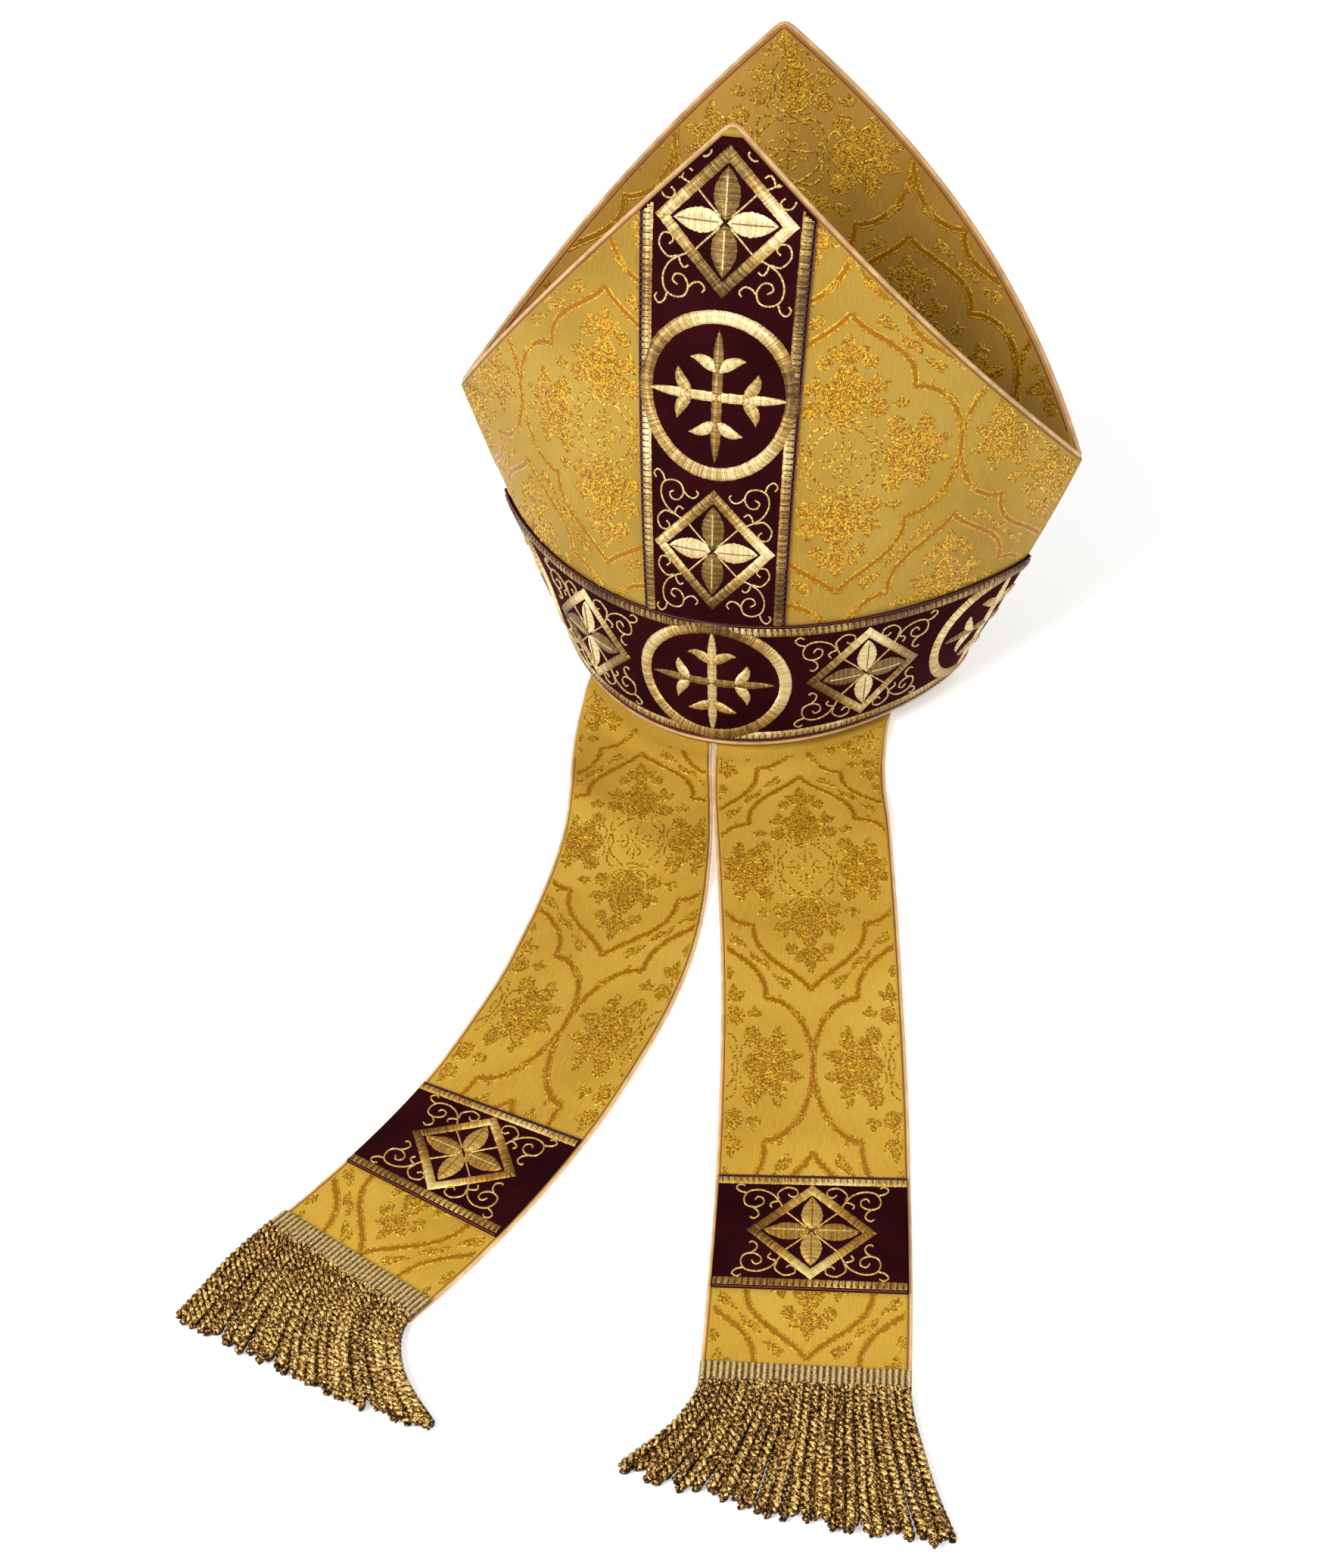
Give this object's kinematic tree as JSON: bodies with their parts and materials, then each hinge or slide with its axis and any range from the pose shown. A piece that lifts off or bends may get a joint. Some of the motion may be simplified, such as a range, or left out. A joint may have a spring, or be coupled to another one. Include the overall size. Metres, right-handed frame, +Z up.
{
  "type": "bishop mitre",
  "caption": "Pointed bishop mitre of gold brocade, opened to a head-size oval, with dark velvet bands, satin piping and two fringed lappets laid out from the back of its rim.",
  "frame": {"origin": "centre of the bounding box on the surface the mitre stands on", "axes": "+Z up, -Y the way the lappets run out from the back panel, +X to the right of someone who faces the back panel"},
  "size_m": [0.3536, 0.6298, 0.3183],
  "materials": {
    "gold_brocade": "satin ground with lurex figure",
    "velvet_galloon": "velvet with metallic embroidery",
    "satin_piping": "satin",
    "fringe_braid": "metallic braid",
    "bullion_fringe": "twisted metallic thread"
  },
  "bodies": {
    "root": {"back_panel": "gold_brocade", "front_panel": "gold_brocade", "crown_gusset": "gold_brocade", "back_orphrey": "velvet_galloon", "front_orphrey": "velvet_galloon", "rim_band": "velvet_galloon", "rim_piping": "satin_piping", "back_horn_piping": "satin_piping", "front_horn_piping": "satin_piping", "left_lappet": "gold_brocade", "right_lappet": "gold_brocade", "left_lappet_piping": "satin_piping", "right_lappet_piping": "satin_piping", "left_lappet_band": "velvet_galloon", "right_lappet_band": "velvet_galloon", "left_fringe_heading": "fringe_braid", "right_fringe_heading": "fringe_braid", "left_fringe": "bullion_fringe", "right_fringe": "bullion_fringe"}
  },
  "joints": []
}
